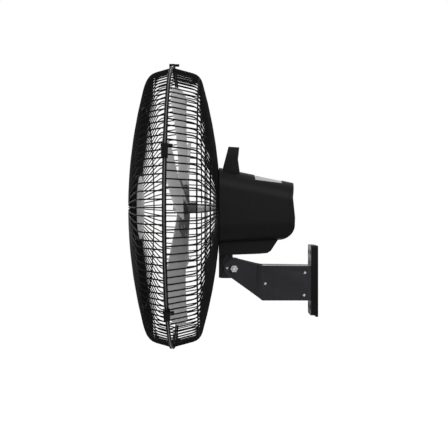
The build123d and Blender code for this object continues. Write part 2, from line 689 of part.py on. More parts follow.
def cap_screws():
    made = []
    for y in (-46.0, 46.0):
        made.append(round_x(1.8, -72.0, -52.8, sides=SCREW_SIDES, y=y, z=140.0))
    return made


def make_housing():
    outer, inner = house_body(), house_body(WALL)
    front = box(HOUSE_X, SEAM_X, -90, 90, 40, 260)
    cavity = (inner & box(-230, SEAM_X + 1, -90, 90, 40, 260)) - panel_space(WALL)
    web = inner & box(FLANGE_BACK, FLANGE_BACK + WALL, -90, 90, 40, 260)
    web -= on_axis(round_x(FRAME_R + 1.5, -200, -150, sides=36))
    web -= box(-200, -150, -21.5, 21.5, 60, 105)
    shell = (outer & front) - cavity - panel_space()
    shell += web
    for y in (-46.0, 46.0):
        boss = round_x(5.0, -82.0, SEAM_X, sides=SMALL_SIDES, y=y, z=140.0)
        shell += (boss + box(-82, SEAM_X, *sorted((y, y * 1.17)), 136, 144)) & outer
    shell -= box(-193.5, -90, -22.5, 22.5, 60, 90)
    for screw in [on_axis(s) for s in flange_screws()] + cap_screws() + handle_screws():
        shell -= screw
    save("housing_shell", shell)

    cap = outer & box(SEAM_X, -30, -90, 90, 40, 260)
    cap -= inner & box(SEAM_X - 1, -30, -90, 90, 40, 260)
    for screw in cap_screws():
        cap -= screw
    save("rear_cap", cap)
    save("cap_screws", *cap_screws())

    trim = house_body(1.0) & panel_space()
    save("top_insert", trim)

    tray = chin_body() - chin_body(WALL) - outer
    tray -= round_z(11.2, SPINDLE_X, 0, 40, 60, 24)
    save("lower_cover", tray)
    make_handle(outer)


def handle_screws():
    made = []
    for y in (-37.0, 37.0):
        screw = round_z(2.2, -171.0, y, 204.0, 232.0, SCREW_SIDES)
        made.append(screw + round_z(4.4, -171.0, y, 200.0, 204.0, SCREW_SIDES))
    return made


def make_handle(outer):
    """Carrying loop that stands across the housing's crown and leans with its front edge."""
    side = side_face((-188.5, 195), (-188, 220), (-177, 262), (-156, 260.5), (-159, 236),
                     (-155.5, 211), (-155.5, 195))
    arch = make_face(Polyline((0, -47, 190), (0, -45, 246), (0, -30, 264), (0, 30, 264),
                              (0, 45, 246), (0, 47, 190), close=True))
    arch = extrude(arch, amount=60, dir=(1, 0, 0), both=True)
    gap = make_face(Polyline((0, -31, 190), (0, -30, 238), (0, -21, 246), (0, 21, 246),
                             (0, 30, 238), (0, 31, 190), close=True))
    gap = extrude(gap, amount=60, dir=(1, 0, 0), both=True)
    handle = side_plate(side, -60, 60) & (Pos(-170, 0, 0) * (arch - gap))
    handle -= outer
    for screw in handle_screws():
        handle -= screw
    save("carry_handle", handle)
    save("handle_screws", *handle_screws())


make_guard()
make_clips()
make_badge()
make_rotor()
make_motor()
make_head_mount()
make_swing_drive()
make_tilt()
make_arm()
make_wall_plate()
make_housing()
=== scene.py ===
# %% [markdown]
# # A wall mounted fan, seen from its side
#
# The fan is a cage of bent wire round five pressed blades. A moulded motor head carries the
# cage, and a folded steel arm holds the head on the wall. Its construction is already fixed:
# the frame that is loaded below has every piece at its real size and place. This lesson
# dresses it. Round wires take the place of plain ribs, folded and moulded parts get soft
# edges, and every surface gets a finish made from nodes.
#
# Lengths are in metres. The wall is the plane X = 0, the fan blows towards -X, and Z is up.

# %% Load the frame
import json
import math

import bmesh
import bpy
import numpy as np
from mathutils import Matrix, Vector


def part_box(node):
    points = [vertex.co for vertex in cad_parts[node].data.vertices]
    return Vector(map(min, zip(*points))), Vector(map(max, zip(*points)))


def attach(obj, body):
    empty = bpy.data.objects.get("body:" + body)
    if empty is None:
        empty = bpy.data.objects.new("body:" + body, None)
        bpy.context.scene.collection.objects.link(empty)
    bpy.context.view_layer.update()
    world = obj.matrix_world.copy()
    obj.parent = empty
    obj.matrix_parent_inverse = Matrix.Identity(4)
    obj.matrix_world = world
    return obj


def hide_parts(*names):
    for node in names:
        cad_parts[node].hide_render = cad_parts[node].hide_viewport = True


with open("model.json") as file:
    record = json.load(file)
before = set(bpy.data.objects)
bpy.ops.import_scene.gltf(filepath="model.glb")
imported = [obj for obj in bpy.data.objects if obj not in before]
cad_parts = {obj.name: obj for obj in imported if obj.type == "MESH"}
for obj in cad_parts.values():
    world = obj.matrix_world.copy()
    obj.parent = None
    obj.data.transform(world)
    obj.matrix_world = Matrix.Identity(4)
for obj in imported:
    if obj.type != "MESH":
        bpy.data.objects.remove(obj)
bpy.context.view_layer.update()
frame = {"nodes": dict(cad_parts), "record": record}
nodes = frame["nodes"]
MM = 0.001

# %% [markdown]
# ## Where things are
#
# A few sizes come straight from the frame, so the new pieces seat without any fitting. The
# band round the rim gives the fan's axis and the plane in which the two halves of the cage
# meet. Typing them in would work too, until the frame changes.

# %% Measure the frame
band_low, band_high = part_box("rim_band")
badge_low, badge_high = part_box("front_badge")
AXIS_Z = (band_low.z + band_high.z) / 2
RIM_X = (band_low.x + band_high.x) / 2
BAND_R = (band_high.z - band_low.z) / 2
BADGE_R = (badge_high.y - badge_low.y) / 2
print(f"axis at {AXIS_Z / MM:.1f} mm, rim at {RIM_X / MM:.1f} mm, radius {BAND_R / MM:.1f} mm")

# %% [markdown]
# ## Camera
#
# The picture is square from the side. The lens stands level with the fan's axis, a little to
# the left of the middle of the object. Turning it would make the wall plate lean, so the
# frame is moved over the fan with the camera's shift, as a view camera does.

# %% Camera
VIEW_DISTANCE = 1.300
VIEW_X = -0.210
PICTURE_WIDTH = 0.896        # width of the picture at the fan's axis
SENSOR = 36.0
SHIFT = (0.0277, -0.0366)    # parts of the picture's width, to the right and up


def add_object(name, data):
    """An object that shows some data, linked to the scene."""
    obj = bpy.data.objects.new(name, data)
    bpy.context.scene.collection.objects.link(obj)
    return obj


camera_data = bpy.data.cameras.new("side_view")
camera_data.sensor_width = SENSOR
camera_data.lens = SENSOR * VIEW_DISTANCE / PICTURE_WIDTH
camera_data.shift_x, camera_data.shift_y = SHIFT
camera = add_object("side_view", camera_data)
camera.location = (VIEW_X, -VIEW_DISTANCE, AXIS_Z)
camera.rotation_euler = (math.radians(90), 0, 0)
bpy.context.scene.camera = camera
print(f"lens {camera_data.lens:.1f} mm")

# %% [markdown]
# ## Words for materials
#
# A finish is a small sum: this much roughness, and a little more where the noise is high. It
# could be wired by hand, one link at a time. It reads better as a sum, so a socket is wrapped
# in a class that knows +, - and *, and each of them adds one Math node. Every other node
# comes from one method that takes its type, its settings and the values of its inputs.

# %% Signals
class Signal:
    """A number or colour on its way through a node tree."""

    def __init__(self, shader, socket):
        self.shader, self.socket = shader, socket

    def maths(self, operation, other, swapped=False):
        """One Math node on this signal and another one, in this order or swapped."""
        first, second = (other, self) if swapped else (self, other)
        return self.shader.node("ShaderNodeMath", {"operation": operation},
                                {0: first, 1: second})

    def __add__(self, other):
        return self.maths("ADD", other)

    def __sub__(self, other):
        return self.maths("SUBTRACT", other)

    def __rsub__(self, other):
        return self.maths("SUBTRACT", other, True)

    def __mul__(self, other):
        return self.maths("MULTIPLY", other)

    __radd__, __rmul__ = __add__, __mul__

    def drift(self, span):
        """A swing of `span` about zero, from a signal that runs from 0 to 1."""
        return span * (self - 0.5)


# %% Node trees
class Shader:
    """A node tree, with one word that adds any node to it."""

    def __init__(self, tree):
        self.tree = tree

    def node(self, kind, settings=None, inputs=None, output=0):
        """Add a node: first its settings, then the values or signals of its sockets."""
        made = self.tree.nodes.new(kind)
        for name, value in (settings or {}).items():
            setattr(made, name, value)
        for name, value in (inputs or {}).items():
            self.feed(made.inputs[name], value)
        return Signal(self, made.outputs[output])

    def feed(self, socket, value):
        """Link a signal to a socket, or set a plain value on the socket itself."""
        if isinstance(value, Signal):
            self.tree.links.new(value.socket, socket)
        else:
            socket.default_value = value


class Finish(Shader):
    """A material under a plain name, with the words for its patterns."""

    def __init__(self, name, roughness, metallic=0.0, specular=0.5):
        self.material = bpy.data.materials.new(name)
        self.material.use_nodes = True
        super().__init__(self.material.node_tree)
        self.surface = self.tree.nodes["Principled BSDF"]
        self.set(Roughness=roughness, Metallic=metallic, Specular_IOR_Level=specular)
        self.place = self.node("ShaderNodeTexCoord", output="Object")

    def set(self, **values):
        """Feed the surface's own sockets, with _ for a space in their names."""
        for name, value in values.items():
            self.feed(self.surface.inputs[name.replace("_", " ")], value)

    def noise(self, size, stretch=(1, 1, 1), detail=2.0, where=None):
        """Noise whose patches are about `size` metres across, from 0 to 1."""
        at = self.node("ShaderNodeMapping", None,
                       {"Vector": where or self.place, "Scale": stretch})
        return self.node("ShaderNodeTexNoise", None,
                         {"Vector": at, "Scale": 1.0 / size, "Detail": detail})

    def blend(self, mask, first, second):
        """Colour `first` where the mask is 0 and `second` where it is 1."""
        return self.node("ShaderNodeMix", {"data_type": "RGBA"},
                         {0: mask, 6: first, 7: second}, 2)

    def bump(self, height, depth):
        """Dents of a few hundredths of a millimetre, which the light shows."""
        return self.node("ShaderNodeBump", None,
                         {"Height": height, "Distance": depth, "Strength": 1.0})


def grey(level, blue=0.0):
    """A grey, with a little more blue in it than red and green."""
    return (level, level, level * (1 + blue), 1.0)


# %% [markdown]
# ## Painted steel
#
# The cage is dipped in black paint, which runs smooth and shines softly. The arm is powder
# coated: the powder melts into a skin with a fine orange peel, a little bluer and lighter
# than the cage. The wall plate and its cover have the same skin, but it is drawn in black:
# that black is painted shade, for the shade in which the plate lies. The hub is mid grey.
# Each is one colour to the eye, but paint thins and dulls in patches. So colour and roughness
# drift a little with large soft noise, and small noise dents the skin.

# %% Paints
PAINT_CLOUD, PAINT_DRIFT = 22 * MM, 0.10     # the patches' size, and their swing of roughness


def paint(name, tones, roughness, specular, peel, depth=0.02 * MM, blue=0.0):
    """Paint whose colour drifts between two greys, over dents `peel` metres across."""
    finish = Finish(name, roughness, specular=specular)
    cloud = finish.noise(PAINT_CLOUD, detail=3.0)
    finish.set(Base_Color=finish.blend(cloud, *(grey(tone, blue) for tone in tones)),
               Roughness=roughness + cloud.drift(PAINT_DRIFT),
               Normal=finish.bump(finish.noise(peel), depth))
    return finish.material


finishes = {
    "guard_black": paint("guard_paint", (0.004, 0.008), 0.58, 0.06, 1.6 * MM),
    "bracket_grey": paint("arm_powder_coat", (0.018, 0.025), 0.32, 0.18, 0.7 * MM, blue=0.14),
    # The next coat is the arm's powder coat drawn in black, as painted shade on the wall plate
    # and its cover.
    "plate_painted_shade": paint("plate_coat_painted_shade", (0.003, 0.006), 0.26, 0.10, 0.7 * MM, 0.01 * MM),
    "hub_steel": paint("hub_paint", (0.11, 0.15), 0.45, 0.35, 1.1 * MM),
}
print("paints:", ", ".join(finishes))

# %% [markdown]
# ## Moulded plastic
#
# The head's covers are injection moulded. The mould is etched, so the black skin carries a
# fine leather-like grain that spreads the light. Modelled pits would be far too many, so the
# grain is a bump from a smooth Voronoi pattern, whose cells are like the etched pits. The
# sunk panel on top is the same plastic in light grey, and the disc behind the badge is drawn
# in a paler grey still. The friction rings of the pivot have a coarser grain.

# %% Plastics
PLASTIC_CLOUD, PLASTIC_DRIFT = 35 * MM, 0.08


def moulding(name, tones, roughness, specular, grain=0.55 * MM, depth=0.02 * MM):
    """Plastic with etched grain; the grain's pits are about `grain` metres apart."""
    finish = Finish(name, roughness, specular=specular)
    cloud = finish.noise(PLASTIC_CLOUD, detail=3.0)
    pits = finish.node("ShaderNodeTexVoronoi", {"feature": "SMOOTH_F1"},
                       {"Vector": finish.place, "Scale": 1.0 / grain})
    finish.set(Base_Color=finish.blend(cloud, *map(grey, tones)),
               Roughness=roughness + cloud.drift(PLASTIC_DRIFT),
               Normal=finish.bump(pits, depth))
    return finish.material


plastics = {
    "housing_black": moulding("housing_moulding", (0.004, 0.007), 0.50, 0.10),
    "badge_black": moulding("badge_moulding", (0.004, 0.007), 0.45, 0.10),
    "panel_grey": moulding("top_panel_moulding", (0.50, 0.56), 0.48, 0.4),
    "backing_grey": moulding("badge_backing", (0.70, 0.78), 0.48, 0.4),
    "washer_dark": moulding("friction_ring", (0.020, 0.035), 0.80, 0.2, 0.9 * MM, 0.05 * MM),
}
finishes.update(plastics)
print("plastics:", ", ".join(plastics))

# %% [markdown]
# ## Bare and plated metal
#
# The blades are rolled aluminium, and rolling leaves fine lines that run one way. On a blade
# they run from hub to tip, so the lines are read from the blade's own map and not from
# space. Zinc on the fasteners has a faint bloom of crystals. The turned shaft keeps the
# lathe's rings: noise that changes only along the shaft. The cast parts are rough from the
# mould.

# %% Metals
METAL_CLOUD = 18 * MM
STREAK_DRIFT, CLOUD_DRIFT = 0.10, 0.06


def metal(name, tones, roughness, size, stretch=(1, 1, 1), depth=0.005 * MM, blue=0.0,
          mapped=False, metallic=1.0):
    """Metal with streaks: noise of one size, stretched along the grain."""
    finish = Finish(name, roughness, metallic=metallic)
    where = finish.node("ShaderNodeTexCoord", output="UV") if mapped else None
    streak = finish.noise(size, stretch, detail=4.0, where=where)
    cloud = finish.noise(METAL_CLOUD)
    finish.set(Base_Color=finish.blend(streak, *(grey(tone, blue) for tone in tones)),
               Roughness=roughness + streak.drift(STREAK_DRIFT) + cloud.drift(CLOUD_DRIFT),
               Normal=finish.bump(streak, depth))
    return finish.material


metals = {
    "blade_metal": metal("blade_aluminium", (0.50, 0.61), 0.62, 1.2 * MM, (1, 0.03, 1),
                         mapped=True, metallic=0.5),
    "zinc": metal("zinc_plate", (0.50, 0.72), 0.34, 2.5 * MM, blue=0.02),
    "shaft_steel": metal("ground_steel", (0.38, 0.52), 0.26, 0.8 * MM, (1, 0.02, 0.02)),
    "cast_light": metal("cast_aluminium", (0.26, 0.40), 0.55, 1.0 * MM, depth=0.03 * MM),
}
finishes.update(metals)
print("metals:", ", ".join(metals))

# %% [markdown]
# ## Inside the motor
#
# The iron core is a stack of thin varnished sheets, and the windings are turns of lacquered
# copper wire. Each could be modelled sheet by sheet, but the housing hides them. Both are
# bands of one wave texture: across the stack for the sheets, on the slant for the wires.
# A little distortion keeps them from lying all in line.

# %% Core and coils
WAVE_STEP = 0.314            # metres from band to band at a wave's scale of 1
BAND_DEPTH = 0.1 * MM
COPPER_DARK, COPPER_LIGHT = (0.30, 0.09, 0.03, 1), (0.62, 0.24, 0.09, 1)


def banded(name, dark, light, roughness, pitch, direction, metallic):
    """Bands `pitch` metres apart, a little uneven, such as sheets or turns of wire."""
    finish = Finish(name, roughness, metallic=metallic)
    bands = finish.node("ShaderNodeTexWave", {"bands_direction": direction},
                        {"Vector": finish.place, "Scale": WAVE_STEP / pitch, "Distortion": 0.6})
    finish.set(Base_Color=finish.blend(bands, dark, light),
               Normal=finish.bump(bands, BAND_DEPTH))
    return finish.material


finishes["lamination"] = banded("core_sheets", grey(0.06), grey(0.16), 0.5, 0.5 * MM, "X", 0.8)
finishes["copper_coil"] = banded("coil_wire", COPPER_DARK, COPPER_LIGHT, 0.3, 0.7 * MM,
                                 "DIAGONAL", 0.9)
print(f"{len(finishes)} finishes in all")

# %% [markdown]
# ## First coat
#
# Every piece of the frame starts with the finish of its own slot. The pieces that are built
# below take the same finishes by the same names, so a part looks the same either way.

# %% Finish the frame
slot_of = {part["node"]: part["material_slot"] for part in frame["record"]["subparts"]}
for node_name, slot_name in slot_of.items():
    slots = nodes[node_name].data.materials
    slots.clear()
    slots.append(finishes[slot_name])
print(f"{len(set(slot_of.values()))} finishes on {len(slot_of)} pieces")

# %% [markdown]
# ## Words for shapes
#
# Each new piece is a surface: a grid of points worked out as one numpy array. Four
# neighbours in the grid make a face. One helper turns such a grid into a mesh, closes it and
# turns its faces outwards. A leading dimension in the array stands for copies, so 125 wires
# are one call, where 125 objects would be slow.

# %% Meshes from grids
MERGE = 0.001 * MM           # points closer than this are one


def cleaned(name, mesh, merge=MERGE, flat=None, sharp=35):
    """An object from a mesh: doubles merged, areas flat to within an angle made one face,
    faces turned outwards, and smooth shading except across edges steeper than `sharp`."""
    shape = bmesh.new()
    shape.from_mesh(mesh)
    bmesh.ops.remove_doubles(shape, verts=shape.verts, dist=merge)
    if flat:
        bmesh.ops.dissolve_limit(shape, angle_limit=math.radians(flat), verts=shape.verts,
                                 edges=shape.edges)
    bmesh.ops.recalc_face_normals(shape, faces=shape.faces)
    shape.to_mesh(mesh)
    shape.free()
    mesh.shade_smooth()
    mesh.set_sharp_from_angle(angle=math.radians(sharp))
    return add_object(name, mesh)


def surface(name, points, ring=True, loop=False):
    """A closed mesh from points (copies, rows, columns, xyz).

    ring joins the last column to the first. loop joins the last row to the first; without
    it, the first and last rows are closed by a face each.
    """
    rows, columns = points.shape[-3:-1]
    i = np.arange(rows if loop else rows - 1)[:, None]
    j = np.arange(columns if ring else columns - 1)[None, :]
    below, beside = (i + 1) % rows, (j + 1) % columns
    quads = np.stack([i * columns + j, i * columns + beside,
                      below * columns + beside, below * columns + j], -1).reshape(-1, 4)
    copies = points.reshape(-1, rows * columns, 3)
    starts = np.arange(len(copies))[:, None, None] * rows * columns
    faces = (quads + starts).reshape(-1, 4).tolist()
    if ring and not loop:
        last_row = np.arange(columns)
        ends = np.stack([last_row[::-1], last_row + (rows - 1) * columns])
        faces += (ends + starts).reshape(-1, columns).tolist()
    mesh = bpy.data.meshes.new(name)
    mesh.from_pydata(copies.reshape(-1, 3), [], faces)
    return cleaned(name, mesh)


# %% [markdown]
# ## Seating a piece
#
# A finished piece needs three things: a finish, which its slot's name picks unless another is
# given, the body that it moves with, and the frame pieces that it stands for, which are hidden.
# One helper sees to all three, so that no piece is left hanging when the head tilts or the
# blades turn.

# %% Place a piece
def place(obj, body, slot_name, *replaced, finish=None):
    """Put a piece on its body, give it its finish, and let it stand for frame pieces."""
    obj.data.materials.clear()
    obj.data.materials.append(finishes[finish or slot_name])
    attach(obj, body)
    if replaced:
        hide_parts(*replaced)
    print(f"{obj.name}: {len(obj.data.polygons)} faces on {body}")
    return obj


# %% [markdown]
# ## Round the axis
#
# Nearly everything on a fan repeats round its axis or is turned round it. Blender's Spin
# could do it, but it can turn a shape inside out. Here a side view is drawn as points
# (x, r), and one function carries them round.

# %% Turned shapes
def full_turn(steps):
    """Angles once round, without the last one, which is the first again."""
    return np.linspace(0, 2 * np.pi, steps, endpoint=False)


def round_the_axis(x, r, angle, aside=0.0):
    """The point at (x, r) turned to an angle round the fan's axis, and moved aside by a
    length along the circle. Angles count from the -Y side upwards."""
    y = -r * np.cos(angle) + aside * np.sin(angle)
    z = AXIS_Z + r * np.sin(angle) + aside * np.cos(angle)
    return np.stack(np.broadcast_arrays(x, y, z), -1)


def turned(profile, steps=96):
    """A profile of (x, r) points turned once round the fan's axis."""
    profile = np.asarray(profile, float)
    return round_the_axis(profile[:, None, 0], profile[:, None, 1], full_turn(steps))


def circle(x, r, radius, sides=12):
    """Points round a small circle at (x, r), the section of a hoop of wire."""
    turn = full_turn(sides)
    return np.stack([x + radius * np.cos(turn), r + radius * np.sin(turn)], -1)


# %% [markdown]
# ## The wires of the cage
#
# Each half of the cage has 125 wires. A wire leaves the centre, follows the dome, bends over
# the shoulder and runs down to the rim. It could be a curve object with a bevel, but 250 of
# them are slow to handle. Here one side view of the wire is worked out first: a parabola, a
# quadratic curve round the shoulder and a straight end. A small circle is then carried along
# it, and the whole is turned to 125 angles at once.

# %% Path of a wire
FRONT_DOME = (-368.9 * MM, 0.60)             # x = start + curve * r^2
REAR_DOME = (-193.8 * MM, -0.58)
FRONT_START_R, REAR_START_R = 60 * MM, 46 * MM
FRONT_SHOULDER_R, REAR_SHOULDER_R = 260.5 * MM, 258.5 * MM
SHOULDER = 14 * MM           # how far from the corner the bend starts
WIRE_END_R = 271.8 * MM
WIRE_END_GAP = 2.4 * MM      # from the rim's plane to the end of a wire


def dome_x(dome, r):
    """The dome's parabola: how far along the axis it is at a radius."""
    return dome[0] + dome[1] * r * r


def wire_path(dome, start_r, shoulder_r, end_x):
    """Side view of a wire as (x, r) points: the dome's parabola, then a quadratic curve
    whose middle control point is the shoulder, then a straight run to the rim."""
    corner = np.array([dome_x(dome, shoulder_r), shoulder_r])
    end = np.array([end_x, WIRE_END_R])
    r = np.linspace(start_r, shoulder_r - SHOULDER, 6)
    domed = np.stack([dome_x(dome, r), r], -1)
    after = corner + (end - corner) * SHOULDER / np.linalg.norm(end - corner)
    t = np.linspace(0, 1, 5)[1:, None]
    bend = (1 - t) ** 2 * domed[-1] + 2 * t * (1 - t) * corner + t * t * after
    return np.concatenate([domed, bend, [end]])


front_path = wire_path(FRONT_DOME, FRONT_START_R, FRONT_SHOULDER_R, RIM_X - WIRE_END_GAP)
rear_path = wire_path(REAR_DOME, REAR_START_R, REAR_SHOULDER_R, RIM_X + WIRE_END_GAP)
print(f"{len(front_path)} points along a wire")

# %% All the wires
WIRES = 125
WIRE_R = 1.32 * MM
WIRE_SIDES = 6
REAR_PHASE = 0.39            # the rear wires are offset by this part of a pitch


def wires(path, phase):
    """Tubes round all the wires of a half: a circle across the path, turned to each angle."""
    tangent = np.gradient(path, axis=0)
    tangent /= np.linalg.norm(tangent, axis=1)[:, None]
    across = np.stack([-tangent[:, 1], tangent[:, 0]], -1)
    turn = full_turn(WIRE_SIDES)
    section = path[:, None] + WIRE_R * np.cos(turn)[:, None] * across[:, None]
    angle = 2 * np.pi / WIRES * (phase - np.arange(WIRES))
    return round_the_axis(section[..., 0], section[..., 1], angle[:, None, None],
                          WIRE_R * np.sin(turn))


place(surface("front_wires", wires(front_path, 0.0)), "head", "guard_black",
      "front_guard_wires")
place(surface("rear_wires", wires(rear_path, REAR_PHASE)), "head", "guard_black",
      "rear_guard_wires")

# %% [markdown]
# ## Hoops
#
# Hoops of slightly thicker wire lie inside the dome, and every wire is welded to them. Two
# more stand side by side at the rim, one for each half. A torus for each would do, but a
# small circle carried round the axis uses the words that are already here. Its place follows
# from the dome: inside it by the radius of a wire and of a hoop, so that the two touch.

# %% Hoops
HOOP_R = 1.35 * MM
FRONT_HOOPS = (64 * MM, 198 * MM)
REAR_HOOPS = (165 * MM, 205 * MM, 254 * MM)
RIM_HOOP_GAP = 2.35 * MM     # from the rim's plane to the middle of a rim hoop


def hoops(name, dome, radii, side, *replaced):
    """Hoops of one half: those that touch the wires of a dome from inside, and the one at
    the rim. side is 1 where the inside lies towards +X, and -1 where it lies towards -X."""
    centres = [(dome_x(dome, r) + side * (WIRE_R + HOOP_R), r) for r in radii]
    centres.append((RIM_X - side * RIM_HOOP_GAP, BAND_R - HOOP_R))
    points = np.stack([turned(circle(x, r, HOOP_R)) for x, r in centres])
    return place(surface(name, points, loop=True), "head", "guard_black", *replaced)


hoops("front_hoops", FRONT_DOME, FRONT_HOOPS, 1, "front_guard_rings")
hoops("rear_hoops", REAR_DOME, REAR_HOOPS, -1)

# %% [markdown]
# ## Centre plate and rim strip
#
# At the back the wires end on a pressed plate, which screws hold to the motor. A strip is
# sunk between the two rim hoops and takes the hub's lighter grey, so it shows as a thin line
# all round. That grey is painted light, for the light seen through the narrow gap between the
# hoops. Both are rings, so each is a closed profile turned once round the axis.

# %% Centre plate and strip
plate_low, plate_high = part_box("rear_guard_rings")
PLATE_X = plate_high.x - 1.4 * MM
PLATE_SHEET, PLATE_INNER_R, PLATE_OUTER_R = 1.8 * MM, 40 * MM, 70 * MM
PLATE_ROLL = 0.4 * MM        # how far behind the plate's middle its front edges end


def thick_ring(x, inner, outer, roll, sheet):
    """Profile of a pressed ring: a flat between two edges that are rolled back, then the
    same line moved back by the sheet's thickness."""
    half = sheet / 2
    front = np.array([(x + roll, inner), (x - half, inner + half),
                      (x - half, outer - half), (x + roll, outer)])
    return np.concatenate([front, front[::-1] + (sheet, 0)])


plate = thick_ring(PLATE_X, PLATE_INNER_R, PLATE_OUTER_R, PLATE_ROLL, PLATE_SHEET)
place(surface("centre_plate", turned(plate), loop=True), "head", "guard_black",
      "rear_guard_rings")
STRIP_HALF, STRIP_LOW, STRIP_HIGH = 1.1 * MM, BAND_R - 2.8 * MM, BAND_R - 1.8 * MM
strip = [(RIM_X - STRIP_HALF, STRIP_LOW), (RIM_X + STRIP_HALF, STRIP_LOW),
         (RIM_X + STRIP_HALF, STRIP_HIGH), (RIM_X - STRIP_HALF, STRIP_HIGH)]
# The strip's lighter grey is painted light, for the light seen between the two hoops.
place(surface("rim_strip", turned(strip, 192), loop=True), "head", slot_of["rim_band"],
      "rim_band", finish="hub_steel")

# %% [markdown]
# ## Badge
#
# A blank black disc closes the centre of the front half, with a raised rim round a shallow
# dish. A pale backing disc holds it from inside. Both could be cylinders with a bevel. Here
# they are turned profiles whose corners are replaced by small curves, because the dish needs
# a profile anyway.

# %% Badge
POLE = 0.01 * MM             # a profile stops this close to the axis and is capped there
DISH_DEPTH, BADGE_RIM, BADGE_SLOPE = 2 * MM, 4 * MM, 1 * MM
BADGE_CORNER, BACKING_CORNER = 0.9 * MM, 0.5 * MM


def rounded(corners, radius, steps=4):
    """Replace each inner corner of a profile by a quadratic curve that starts and ends
    `radius` before and after it."""
    corners = np.asarray(corners, float)
    before, here, after = corners[:-2], corners[1:-1], corners[2:]

    def towards(other):
        way = other - here
        return here + way / np.linalg.norm(way, axis=1)[:, None] * radius

    t = np.linspace(0, 1, steps)[None, :, None]
    curve = ((1 - t) ** 2 * towards(before)[:, None] + 2 * t * (1 - t) * here[:, None]
             + t * t * towards(after)[:, None])
    return np.concatenate([corners[:1], curve.reshape(-1, 2), corners[-1:]])


def plain_disc(low_x, high_x, radius, corner):
    """Profile of a round plate or boss between two places on the axis."""
    return rounded([(low_x, POLE), (low_x, radius), (high_x, radius), (high_x, POLE)], corner)


dish_r = BADGE_R - BADGE_RIM - BADGE_SLOPE
badge = rounded([(badge_low.x + DISH_DEPTH, POLE), (badge_low.x + DISH_DEPTH, dish_r),
                 (badge_low.x, dish_r + BADGE_SLOPE), (badge_low.x, BADGE_R),
                 (badge_high.x, BADGE_R), (badge_high.x, POLE)], BADGE_CORNER)
place(surface("badge_disc", turned(badge)), "head", "badge_black", "front_badge")
backing_low, backing_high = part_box("badge_back_plate")
backing_r = (backing_high.y - backing_low.y) / 2
backing = plain_disc(backing_low.x, backing_high.x, backing_r, BACKING_CORNER)
place(surface("badge_backing", turned(backing)), "head", "panel_grey", "badge_back_plate",
      finish="backing_grey")

# %% [markdown]
# ## Shape of a blade
#
# A blade is one pressed sheet. Its chord grows from hub to tip, its pitch falls, its middle
# bows forward, the way the fan blows, and its centre line sweeps round. It could be sculpted
# from a plane, but then the few numbers that make the shape would be lost among hundreds of
# points. Here all of it is one function of two parameters: how far out, and how far across.

# %% Blade shape
BLADES = 5
TIP_R, ROOT_R, HUB_ROOT_R = 236 * MM, 46 * MM, 28 * MM
BLADE_X, RAKE = -264.7 * MM, -10.8 * MM
FIRST_BLADE = math.radians(105)
ROOT_CHORD, TIP_CHORD, CHORD_POWER = 50 * MM, 176 * MM, 1.88
PITCH_ROOT, PITCH_SLOPE, PITCH_CURVE = 26, -34, 22       # degrees
SWEEP = 21.3                 # degrees, at the tip
CAMBER = -0.05               # bow, as a part of the chord
TIP_ROUNDING = 16 * MM


def along_blade(r):
    """How far out a radius lies, from 0 at the hub to 1 at the tip."""
    return np.clip((r - HUB_ROOT_R) / (TIP_R - HUB_ROOT_R), 0, 1)


def blade_pitch(s):
    """Pitch falls fast near the hub and rises a little again at the tip: a parabola."""
    return np.radians(PITCH_ROOT + PITCH_SLOPE * s + PITCH_CURVE * s * s)


def blade_angle(number):
    """Where a blade starts, counted backwards from the first one."""
    return FIRST_BLADE - 2 * np.pi / BLADES * number


def blade_sheet(number, rows=33, columns=21):
    """Middle of the sheet, as a function of the way out u and the place across a.

    The tip's corners are drawn in by the fourth power of the place across. Chord, bow and
    sweep are powers of the way out. The place across is laid along the circle at its own
    radius. Returns the points, and u and a at each of them.
    """
    u = np.linspace(0, 1, rows)[:, None]
    a = np.linspace(-0.5, 0.5, columns)[None, :]
    r = ROOT_R + (TIP_R - TIP_ROUNDING * (2 * a) ** 4 - ROOT_R) * u
    s = along_blade(r)
    chord = ROOT_CHORD + (TIP_CHORD - ROOT_CHORD) * s ** CHORD_POWER
    pitch = blade_pitch(s)
    bow = CAMBER * np.sqrt(s) * (1 - 4 * a * a) * chord
    across = a * chord * np.cos(pitch) - bow * np.sin(pitch)
    x = BLADE_X + RAKE * s + a * chord * np.sin(pitch) + bow * np.cos(pitch)
    swept = across / r + np.radians(SWEEP * s * s)
    points = round_the_axis(x, r * np.cos(swept), blade_angle(number), -r * np.sin(swept))
    return points, np.broadcast_to(u, x.shape), np.broadcast_to(a, x.shape)


print(f"tip pitch {math.degrees(blade_pitch(1.0)):.0f} degrees")

# %% [markdown]
# ## Thickness and grain
#
# The grid has no thickness. Two shifted grids could be stitched together, but Solidify does
# that for any sheet and keeps it even, and Bevel takes the sharpness off the cut edge. The
# grid's own parameters are kept as a map, so that the rolled grain follows the blade.

# %% Blades
SHEET, BLADE_EDGE = 1.7 * MM, 0.5 * MM
BLADE_MAP = 200 * MM         # length that the map gives to a whole blade


def add_modifier(obj, kind, **settings):
    """Add a modifier and set its values by name."""
    modifier = obj.modifiers.new(kind.title(), kind)
    for key, value in settings.items():
        setattr(modifier, key, value)


def thicken(obj, thickness, edge):
    """Give a sheet its thickness, half to each side, and round its cut edge."""
    add_modifier(obj, "SOLIDIFY", thickness=thickness, offset=0.0, use_even_offset=True)
    add_modifier(obj, "BEVEL", width=edge, segments=2, angle_limit=math.radians(60))


def map_grid(obj, u, a, length):
    """Lay the grid's own parameters on the mesh as its map, in metres along the sheet."""
    layer = obj.data.uv_layers.new(name="sheet")
    corner = np.empty(len(obj.data.loops), int)
    obj.data.loops.foreach_get("vertex_index", corner)
    pairs = np.stack([a.ravel() * length, u.ravel() * length], -1)[corner]
    layer.data.foreach_set("uv", pairs.ravel())


for number in range(BLADES):
    points, out, across = blade_sheet(number)
    blade = surface(f"blade_sheet_{number + 1}", points, ring=False)
    map_grid(blade, out, across, BLADE_MAP)
    thicken(blade, SHEET, BLADE_EDGE)
    place(blade, "rotor", "blade_metal", f"blade_{number + 1}")

